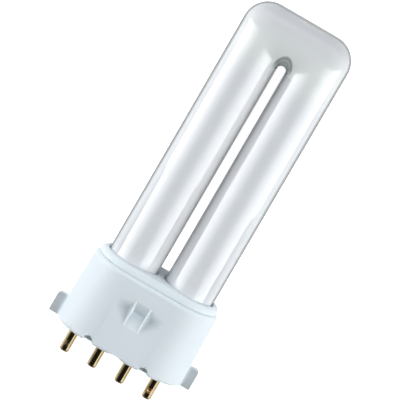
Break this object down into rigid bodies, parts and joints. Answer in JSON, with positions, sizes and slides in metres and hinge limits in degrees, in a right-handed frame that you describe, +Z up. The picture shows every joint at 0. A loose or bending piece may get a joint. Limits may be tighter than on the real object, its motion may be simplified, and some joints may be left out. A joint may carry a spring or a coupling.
{
  "type": "compact fluorescent lamp",
  "caption": "U-shaped fluorescent lamp: coated glass legs joined by a squared bend, cemented in a white plug-in cap with in-line contact pins.",
  "frame": {"origin": "centre of the box around the lamp, on the surface that the lamp lies on", "axes": "+Z up as the lamp lies on its back, +Y along the lamp from the pins to the bend, +X across the two legs"},
  "size_m": [0.0358, 0.0916, 0.019],
  "materials": {
    "coated_glass": "clear glass over a white inner coating",
    "white_plastic": "satin moulded",
    "cement": "dull, granular",
    "pin_brass": "bright plated",
    "lead_wire": "drawn wire"
  },
  "bodies": {
    "root": {"discharge_tube": "coated_glass", "cap_shell": "white_plastic", "tube_collar": "white_plastic", "basing_cement": "cement", "contact_pin_1": "pin_brass", "contact_pin_2": "pin_brass", "contact_pin_3": "pin_brass", "contact_pin_4": "pin_brass", "lead_wire_1": "lead_wire", "lead_wire_2": "lead_wire", "lead_wire_3": "lead_wire", "lead_wire_4": "lead_wire"}
  },
  "joints": []
}
